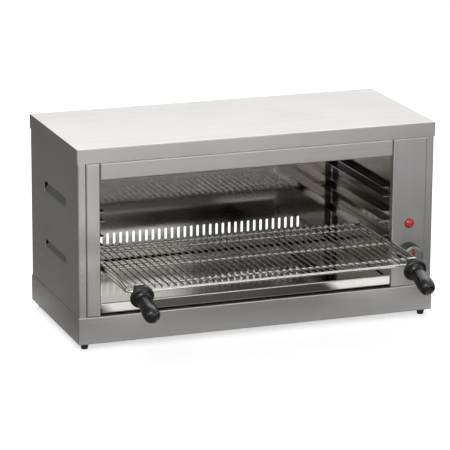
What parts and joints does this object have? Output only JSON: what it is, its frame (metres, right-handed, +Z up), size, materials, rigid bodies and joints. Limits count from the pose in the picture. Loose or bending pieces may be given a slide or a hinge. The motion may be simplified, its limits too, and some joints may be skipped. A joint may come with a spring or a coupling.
{
  "type": "cheese melter",
  "caption": "Countertop cheese melter: folded stainless box open in front, heating tubes under the roof, wire grid with black handles on side channels, crumb tray, knob, red lamp.",
  "frame": {"origin": "centre of the whole object's footprint, handles and cable gland included, on the surface that the feet stand on", "axes": "+X to the right seen from the front, +Y to the back, +Z up; the opening faces -Y"},
  "size_m": [0.6, 0.471, 0.323],
  "materials": {
    "outer_stainless": "brushed stainless steel, satin",
    "cavity_stainless": "bright stainless steel, lightly heat tinted",
    "bracket_steel": "bright folded stainless steel",
    "grid_wire": "polished chrome plate",
    "fastener": "zinc plated steel",
    "handle_bakelite": "black moulded phenolic, satin",
    "knob_plastic": "black moulded plastic, gloss",
    "knob_disc": "spun aluminium, satin",
    "pointer_red": "red moulded plastic",
    "lamp_body": "red-brown moulded plastic, gloss",
    "lamp_red": "red clear plastic, gloss",
    "switch_body": "dark moulded phenolic",
    "terminal_white": "off-white moulded nylon",
    "gland_plastic": "black moulded nylon",
    "foot_rubber": "black rubber",
    "heating_sheath": "dark oxidised steel sheath"
  },
  "bodies": {
    "housing": {"base_pan": "outer_stainless", "top_cover": "outer_stainless", "left_side_panel": "outer_stainless", "right_side_panel": "outer_stainless", "back_panel": "outer_stainless", "back_panel_screws": "fastener", "left_stile": "outer_stainless", "top_rail": "outer_stainless", "control_panel": "outer_stainless", "cavity_left_wall": "cavity_stainless", "cavity_right_wall": "cavity_stainless", "cavity_floor": "cavity_stainless", "ceiling_reflector": "cavity_stainless", "heat_switch": "switch_body", "heat_switch_screws": "fastener", "pilot_lamp_housing": "lamp_body", "pilot_lamp_lens": "lamp_red", "pilot_lamp_nut": "fastener", "terminal_block": "terminal_white", "cable_gland": "gland_plastic", "cable_gland_nut": "fastener", "foot_screws": "fastener", "heating_tube_front": "heating_sheath", "tube_flange_front": "bracket_steel", "tube_hanger_front": "bracket_steel", "heating_tube_rear": "heating_sheath", "tube_flange_rear": "bracket_steel", "tube_hanger_rear": "bracket_steel", "runner_left_low": "bracket_steel", "runner_left_middle": "bracket_steel", "runner_left_high": "bracket_steel", "runner_right_low": "bracket_steel", "runner_right_middle": "bracket_steel", "runner_right_high": "bracket_steel", "foot_front_left": "foot_rubber", "foot_rear_left": "foot_rubber", "foot_front_right": "foot_rubber", "foot_rear_right": "foot_rubber"},
    "grid": {"wire_grid": "grid_wire", "handle_left": "handle_bakelite", "handle_bracket_left": "grid_wire", "handle_nut_left": "fastener", "handle_right": "handle_bakelite", "handle_bracket_right": "grid_wire", "handle_nut_right": "fastener"},
    "crumb_tray": {"crumb_tray": "cavity_stainless"},
    "knob": {"control_knob": "knob_plastic", "knob_face_disc": "knob_disc", "knob_pointer": "pointer_red", "switch_shaft": "fastener"}
  },
  "joints": [
    {"name": "grid_slide", "type": "slide", "parent": "housing", "child": "grid", "axis": [0, -1, 0], "range_m": [-0.122, 0.06]},
    {"name": "crumb_tray_slide", "type": "slide", "parent": "housing", "child": "crumb_tray", "axis": [0, -1, 0], "range_m": [0, 0.2]},
    {"name": "knob_turn", "type": "hinge", "parent": "housing", "child": "knob", "pos_m": [0.257, -0.0395, 0.1078], "axis": [0, 1, 0], "range_deg": [0, 300]}
  ]
}
